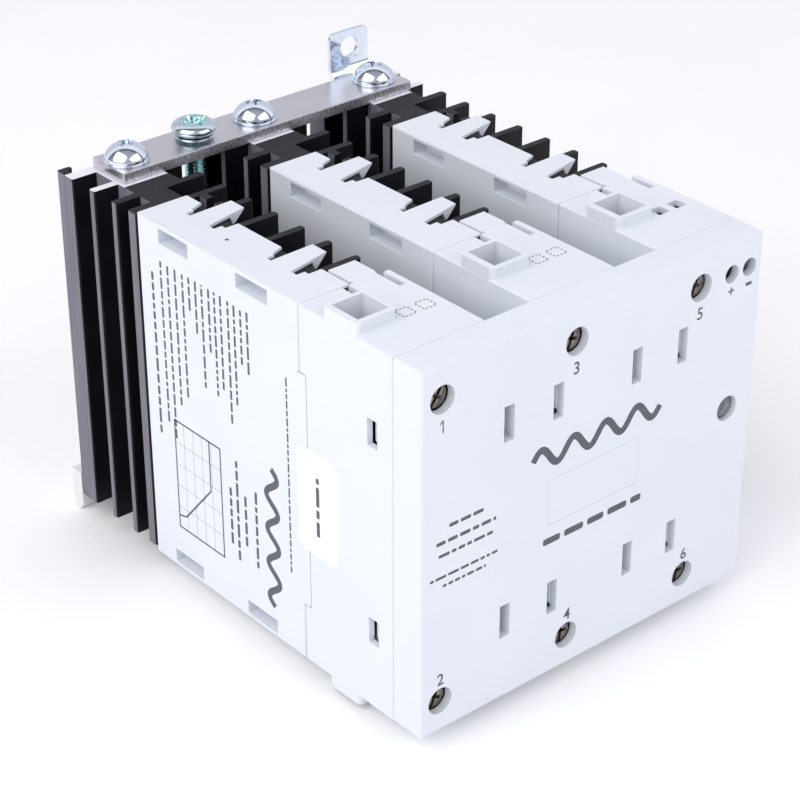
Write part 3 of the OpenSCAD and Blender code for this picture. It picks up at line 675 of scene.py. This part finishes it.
def star_recess(bm, floor_depth, reach):
    """Presses a wide four-armed recess with ridged walls into the top of a head."""
    arms = 4
    ridges = 16
    ridge_height = 0.10
    top_from = 2.0
    for vertex in bm.verts:
        radius = math.hypot(vertex.co.x, vertex.co.y) / MM
        if vertex.co.z < top_from * MM or radius > reach:
            continue
        angle = math.atan2(vertex.co.y, vertex.co.x)
        arm = abs(math.cos(arms / 2 * angle)) ** 2.5
        edge = 1.0 + (reach - 1.0) * (0.25 + 0.75 * arm)
        depth = floor_depth * max(0.0, 1 - (radius / edge) ** 3)
        ridge = (ridge_height * math.cos(ridges * angle) * min(1.0, radius / 1.5)
                 * max(0.0, 1 - radius / edge))
        vertex.co.z -= (depth - ridge) * MM


def earth_screw():
    """Raised earth screw with a low pan head, a wide recess and a real thread."""
    _, washer_high, middle = corners("earth_washer")
    profile = [(0, -0.2), (2.0, -0.2), (2.3, 0), (3.2, 0), (3.9, 0.16), (4.45, 0.55), (4.80, 1.05)]
    profile += [(4.90, 1.45), (4.86, 1.75), (4.68, 2.08), (4.38, 2.38), (4.0, 2.62), (3.6, 2.80)]
    profile += [(3.3 - 0.15 * k, 2.92 + 0.006 * k) for k in range(22)] + [(0, 3.06)]
    bm = lathe(profile, 128)
    star_recess(bm, 1.5, 3.3)
    threaded_rod(bm, 2.43, 2.02, 0.8, -13.95, 0.1)
    gap = 0.02
    move(bm, Matrix.Translation(at(middle.x, middle.y, washer_high.z + gap)))
    piece = add_piece("earth_screw_finished", mesh_of(bm, "earth_screw"), "earth_screw", "teal_zinc")
    even_shading(piece)
    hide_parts("earth_screw")


# ---------------------------------------------------------------- sheet-metal bracket

def filleted(points, radius):
    """Open polyline with its inner corners rounded."""
    steps = 6
    line = [Vector(points[0])]
    for before, corner, after in zip(points, points[1:], points[2:]):
        corner = Vector(corner)
        back = (Vector(before) - corner).normalized()
        ahead = (Vector(after) - corner).normalized()
        reach = min(radius, 0.45 * (Vector(after) - corner).length, 0.45 * (Vector(before) - corner).length)
        start, end = corner + back * reach, corner + ahead * reach
        for k in range(steps + 1):
            t = k / steps
            line.append((1 - t) ** 2 * start + 2 * t * (1 - t) * corner + t * t * end)
    line.append(Vector(points[-1]))
    return line


def thick_outline(line, thickness):
    """Closed outline of a strip of even thickness along a 2-D line."""
    left, right = [], []
    for k, point in enumerate(line):
        before = line[max(k - 1, 0)]
        after = line[min(k + 1, len(line) - 1)]
        along = (after - before).normalized()
        side = Vector((-along.y, along.x)) * thickness / 2
        left.append(point + side)
        right.append(point - side)
    return left + right[::-1]


def prism(bm, outline, spot, low, high):
    """Closed solid from an outline: spot(u, v, w) places it, w going from low to high."""
    first = [bm.verts.new(spot(u, v, low)) for u, v in outline]
    second = [bm.verts.new(spot(u, v, high)) for u, v in outline]
    bm.faces.new(first)
    bm.faces.new(second[::-1])
    count = len(outline)
    for k in range(count):
        n = (k + 1) % count
        bm.faces.new((first[n], first[k], second[k], second[n]))


def rounded_box(u0, v0, u1, v1, radius, steps):
    """Outline of a rectangle with round corners."""
    points = []
    quarters = ((u1 - radius, v1 - radius, 0), (u0 + radius, v1 - radius, 90),
                (u0 + radius, v0 + radius, 180), (u1 - radius, v0 + radius, 270))
    for u, v, start in quarters:
        for k in range(steps + 1):
            a = math.radians(start + 90 * k / steps)
            points.append((u + radius * math.cos(a), v + radius * math.sin(a)))
    return points


def circle(u, v, radius, steps=40):
    """Outline of a circle round (u, v)."""
    angles = [2 * math.pi * k / steps for k in range(steps)]
    return [(u + radius * math.cos(angle), v + radius * math.sin(angle)) for angle in angles]


def bracket():
    """Pressed zinc tab with a soft joggle, round corners and a clean hole."""
    width = 11
    thickness = 1.0
    slot_depth = 2.7
    corner_r = 1.5
    top = HEIGHT + 11
    x0 = 2 * POLE_PITCH + (POLE_W - width) / 2
    x1 = x0 + width
    middle = (x0 + x1) / 2
    low_y = DEPTH - slot_depth + thickness / 2
    high_y = DEPTH - thickness / 2
    joggle = [(low_y, 65.3), (low_y, HEIGHT - 0.05), (high_y, HEIGHT + 2.4), (high_y, top)]
    cut_from, cut_to = 100, 125
    bm = bmesh.new()
    prism(bm, thick_outline(filleted(joggle, corner_r), thickness), lambda u, v, w: at(w, u, v), x0, x1)
    piece = add_piece("mounting_bracket_finished", mesh_of(bm, "bracket"), "base", "blue_zinc")
    front = bmesh.new()
    prism(front, rounded_box(x0, 60, x1, top, corner_r, 8), lambda u, v, w: at(u, w, v), cut_from, cut_to)
    carve(piece, [mesh_of(front, "outline")], "INTERSECT")
    holes = []
    for z, radius in ((HEIGHT + 7.05, 2.4), (68.8, 2.1)):
        hole = bmesh.new()
        prism(hole, circle(middle, z, radius), lambda u, v, w: at(u, w, v), cut_from, cut_to)
        holes.append(mesh_of(hole, "hole"))
    carve(piece, holes)
    cut = bmesh.new()
    cut.from_mesh(piece.data)
    bevel_sharp(cut, 0.14, 45, 3)
    piece.data = mesh_of(cut, "bracket")
    piece.data.materials.append(FINISHES["blue_zinc"])
    even_shading(piece)
    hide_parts("mounting_bracket")


# ---------------------------------------------------------------- printing

def on_front(u, v, w):
    """Place on the front face: u to the right, v up, w out of the face."""
    return at(u, -w, v)


def on_left(u, v, w):
    """Place on the left face: u to the rear, v up, w out of the face."""
    return at(-w, u, v)


def on_top(u, v, w):
    """Place on the top face: u to the right, v to the rear, w up."""
    return at(u, v, HEIGHT + w)


def print_shapes(name, outlines, spot, slot="housing_plastic", base=0.0):
    """Thin printed shapes on one face."""
    bm = bmesh.new()
    for outline in outlines:
        prism(bm, outline, spot, base - INK_ROOT, base + INK_T)
    return add_piece(name, mesh_of(bm, name, False), "base", slot, "printed_ink")


def bars(u0, u1, v0, v1, rng, upright=False):
    """A line of plain word-length bars from u0 to u1. With upright the line runs along v."""
    outlines = []
    if upright:
        start, end, low, high = v0, v1, u0, u1
    else:
        start, end, low, high = u0, u1, v0, v1
    size = high - low
    spot = start
    while spot < end - 0.5 * size:
        length = min(rng.uniform(1.4, 4.6) * size, end - spot)
        corner = min(0.3 * size, 0.4 * length)
        if upright:
            outlines.append(rounded_box(low, spot, high, spot + length, corner, 2))
        else:
            outlines.append(rounded_box(spot, low, spot + length, high, corner, 2))
        spot += length + 0.75 * size
    return outlines


def wave(u0, u1, v, height, stroke, periods, upright=False):
    """Outline of a sine wave, the plain sign for alternating current."""
    line = []
    for k in range(20 * periods + 1):
        t = k / (20 * periods)
        u = u0 + (u1 - u0) * t
        s = v + height / 2 * math.sin(2 * math.pi * periods * t)
        line.append(Vector((s, u)) if upright else Vector((u, s)))
    return thick_outline(line, stroke)


def numeral(text, size, u, v, spot, name):
    """A plain numeral or sign as thin solid shapes of a given height, centred on u, with its foot at v.
    A minus sign is scaled by its width."""
    curve = bpy.data.curves.new(name, "FONT")
    curve.body = text
    curve.extrude = 0.5
    curve.offset = 0.012
    curve.resolution_u = 4
    loose = bpy.data.objects.new(name, curve)
    bpy.context.scene.collection.objects.link(loose)
    bpy.context.view_layer.update()
    graph = bpy.context.evaluated_depsgraph_get()
    mesh = bpy.data.meshes.new_from_object(loose.evaluated_get(graph))
    bpy.data.objects.remove(loose)
    xs = [vertex.co.x for vertex in mesh.vertices]
    ys = [vertex.co.y for vertex in mesh.vertices]
    scale = size / max(max(ys) - min(ys), (max(xs) - min(xs)) if text in "+-" else 0)
    for vertex in mesh.vertices:
        w = INK_T if vertex.co.z > 0 else -INK_ROOT
        across = (vertex.co.x - (min(xs) + max(xs)) / 2) * scale
        up = (vertex.co.y - (min(ys) + max(ys)) / 2 if text in "+-" else vertex.co.y - min(ys)) * scale
        vertex.co = spot(u + across, v + up, w)
    bm = bmesh.new()
    bm.from_mesh(mesh)
    bmesh.ops.remove_doubles(bm, verts=bm.verts, dist=1e-7)
    add_piece(name, mesh_of(bm, name, False), "base", "housing_plastic", "printed_ink")


def front_printing():
    """Numerals at the power holes, signs at the control holes, and greyed lines for the ratings."""
    rng = random.Random(11)
    tall = 2.7
    line_foot = 67.5
    load_foot = 10.9
    for i in POLES:
        x = i * POLE_PITCH + TERMINAL_X
        if i == 0:
            # The font's own 1 is a bare stroke, so this one is drawn with a flag.
            one = [(x, line_foot), (x + 0.3, line_foot), (x + 0.3, 70.2), (x + 0.05, 70.2),
                   (x - 0.6, 69.65), (x - 0.6, 69.3), (x, 69.75)]
            print_shapes("numeral_1", [one], on_front)
        else:
            numeral(str(2 * i + 1), tall, x, line_foot, on_front, f"numeral_{2 * i + 1}")
        numeral(str(2 * i + 2), tall, x, load_foot, on_front, f"numeral_{2 * i + 2}")
    for k, (sign, word) in enumerate((("+", "plus"), ("-", "minus"))):
        numeral(sign, 1.7, 2 * POLE_PITCH + CONTROL_X + CONTROL_PITCH * k, 70.9, on_front, f"sign_{word}")
    lines = []
    for u0, u1, v0, v1 in ((7.0, 15.6, 46.4, 47.2), (3.8, 18.9, 43.2, 44.0), (4.4, 18.1, 40.4, 41.1),
                           (2.3, 19.4, 35.6, 36.2), (5.5, 16.5, 33.5, 34.1), (31.5, 58.5, 31.5, 33.0)):
        lines += bars(u0, u1, v0, v1, rng)
    print_shapes("front_lines", lines, on_front)
    print_shapes("front_wave", [wave(28.2, 62.6, 51.9, 4.0, 1.6, 4)], on_front)


def side_printing():
    """Greyed lines, a plain wave and an empty chart on the left face."""
    rng = random.Random(23)
    lines = []
    columns = ((51.7, 59.4), (53.8, 60.8), (55.9, 50.7), (57.9, 45.6), (60.3, 52.3), (62.3, 50.0),
               (64.2, 59.2), (66.5, 50.1), (68.6, 61.7), (70.8, 66.0), (73.0, 45.0), (75.5, 42.1),
               (78.0, 33.0), (80.4, 36.0))
    for y, end in columns:
        lines += bars(y - 0.33, y + 0.33, end, 73.5, rng, True)
    for y, low, high in ((50.9, 14.2, 33.3), (54.5, 17.8, 29.9), (57.2, 13.0, 37.1), (59.5, 16.0, 30.0),
                         (83.5, 32.0, 70.0)):
        lines += bars(y - 0.40, y + 0.40, low, high, rng, True)
    lines += bars(39.45, 39.95, 18.9, 64.0, rng, True)
    print_shapes("side_lines", lines, on_left)
    print_shapes("side_wave", [wave(7.4, 40.6, 45.5, 3.6, 1.5, 4, True)], on_left)
    near, far, foot, top = 62.7, 78.5, 11.0, 37.4
    frame_half = 0.20
    grid_half = 0.035
    cells = 5
    chart = []
    for y in (near, far):
        chart.append(rounded_box(y - frame_half, foot, y + frame_half, top, 0.05, 1))
    for z in (foot, top):
        chart.append(rounded_box(near - frame_half, z - frame_half, far + frame_half, z + frame_half,
                                 0.05, 1))
    for k in range(1, cells):
        y = near + (far - near) * k / cells
        chart.append(rounded_box(y - grid_half, foot, y + grid_half, top, 0.02, 1))
        z = foot + (top - foot) * k / cells
        chart.append(rounded_box(near, z - grid_half, far, z + grid_half, 0.02, 1))
    curve = [Vector(p) for p in ((66.5, top), (66.5, 25.4), (75.9, 14.5), (78.3, 13.9))]
    chart.append(thick_outline(curve, 0.42))
    print_shapes("side_chart", chart, on_left)
    date = bars(30.0, 31.0, 32.0, 45.5, rng, True)
    print_shapes("sticker_lines", date, on_left, "sticker_film", 0.1)


def perforations():
    """Dashed knock-out outlines of the unused control entries, and the gate mark of a rear shell."""
    square = 3
    half_length = 0.31
    half_width = 0.13
    dashes = []
    for i in (0, 1):
        for x0 in (11.8, 16.7):
            for n in range(square):
                middle = 0.5 + n
                for side in (0, square):
                    u, v = i * POLE_PITCH + x0, 18.4
                    dashes.append(rounded_box(u + middle - half_length, v + side - half_width,
                                              u + middle + half_length, v + side + half_width, 0.1, 2))
                    dashes.append(rounded_box(u + side - half_width, v + middle - half_length,
                                              u + side + half_width, v + middle + half_length, 0.1, 2))
    dashes.append(circle(6.4, 66.0, 0.45, 16))
    print_shapes("knock_out_dashes", dashes, on_top)


# ---------------------------------------------------------------- studio

def floor():
    """Large pale floor just under the lowest point of the object at rest."""
    gap = 0.2 * MM
    low = cad_bounds[0][2] - gap
    bm = bmesh.new()
    bmesh.ops.create_grid(bm, x_segments=8, y_segments=8, size=4)
    for vertex in bm.verts:
        vertex.co.z = low
    mesh = mesh_of(bm, "floor")
    mesh.materials.append(studio_floor())
    sheet = bpy.data.objects.new("floor", mesh)
    bpy.context.scene.collection.objects.link(sheet)


def lamp(name, place_at, width, height, power, tint):
    """Soft rectangular lamp that looks at the middle of the object."""
    aim = (0, -0.06, 0)
    data = bpy.data.lights.new(name, "AREA")
    data.shape = "RECTANGLE"
    data.size = width
    data.size_y = height
    data.energy = power
    data.color = tint
    light = bpy.data.objects.new(name, data)
    bpy.context.scene.collection.objects.link(light)
    light.location = place_at
    light.rotation_euler = (Vector(aim) - Vector(place_at)).to_track_quat("-Z", "Y").to_euler()


def studio():
    """Surround that is grey in front, dark in a band at the sides and bright behind, where the metal tops
    reflect it, and two soft lamps."""
    world = bpy.data.worlds.new("studio")
    bpy.context.scene.world = world
    world.use_nodes = True
    nodes, links = world.node_tree.nodes, world.node_tree.links
    back = nodes["Background"]
    coords = nodes.new("ShaderNodeTexCoord")
    dot = nodes.new("ShaderNodeVectorMath")
    dot.operation = "DOT_PRODUCT"
    dot.inputs[1].default_value = (0.62, 0.78, 0.0)
    links.new(coords.outputs["Generated"], dot.inputs[0])
    turn = nodes.new("ShaderNodeMapRange")
    turn.interpolation_type = "SMOOTHSTEP"
    turn.inputs["From Min"].default_value = -0.5
    turn.inputs["From Max"].default_value = 0.8
    links.new(dot.outputs["Value"], turn.inputs["Value"])
    ramp = nodes.new("ShaderNodeValToRGB")
    stops = ramp.color_ramp.elements
    stops[0].color = (0.42, 0.41, 0.46, 1)
    stops[1].color = (0.66, 0.66, 0.72, 1)
    for position, shade in ((0.30, 0.34), (0.42, 0.10), (0.50, 0.10), (0.60, 0.95), (0.80, 0.90)):
        stops.new(position).color = (shade, shade, 1.07 * shade, 1)
    links.new(turn.outputs["Result"], ramp.inputs[0])
    links.new(ramp.outputs[0], back.inputs["Color"])
    back.inputs["Strength"].default_value = 1.10
    lamp("key", (-0.95, -0.2, 0.85), 1.3, 1.3, 12.0, (1.0, 0.99, 0.98))
    lamp("fill", (0.4, -1.05, 0.7), 1.3, 1.1, 5.2, (0.97, 0.98, 1.0))
    bpy.context.scene.view_settings.view_transform = "Standard"


def camera():
    """Camera at the height, side and distance of a product shot from the left front.

    Angles are in degrees.
    """
    azimuth = -40.34
    elevation = 29.92
    lean = -0.11
    standpoint = (-0.28292, -0.39148, 0.24453)
    data = bpy.data.cameras.new("camera")
    data.lens = 105.85
    data.sensor_width = 36
    data.clip_start = 0.02
    data.clip_end = 20
    eye = bpy.data.objects.new("camera", data)
    bpy.context.scene.collection.objects.link(eye)
    turn = Matrix.Rotation(math.radians(azimuth), 4, "Z")
    tilt = Matrix.Rotation(math.radians(90 - elevation), 4, "X")
    roll = Matrix.Rotation(math.radians(lean), 4, "Z")
    eye.matrix_world = Matrix.Translation(standpoint) @ turn @ tilt @ roll
    bpy.context.scene.camera = eye


# ---------------------------------------------------------------- build

dress_cad_nodes()
soften("front_cover", 0.12)
for number in (1, 2, 3):
    soften(f"terminal_housing_{number}", 0.10)
    soften(f"rear_shell_{number}", 0.10)
    soften(f"heat_sink_{number}", 0.07)
soften("earth_bar", 0.20)
for node_name in ("earth_washer", "rear_screws", "rail_hook_1", "rail_hook_3", "rail_latch_1",
                  "rail_latch_3", "indicator_lens"):
    soften(node_name, 0.08)
terminal_screws()
control_screws()
bar_screws()
earth_screw()
bracket()
front_printing()
side_printing()
perforations()
floor()
studio()
camera()
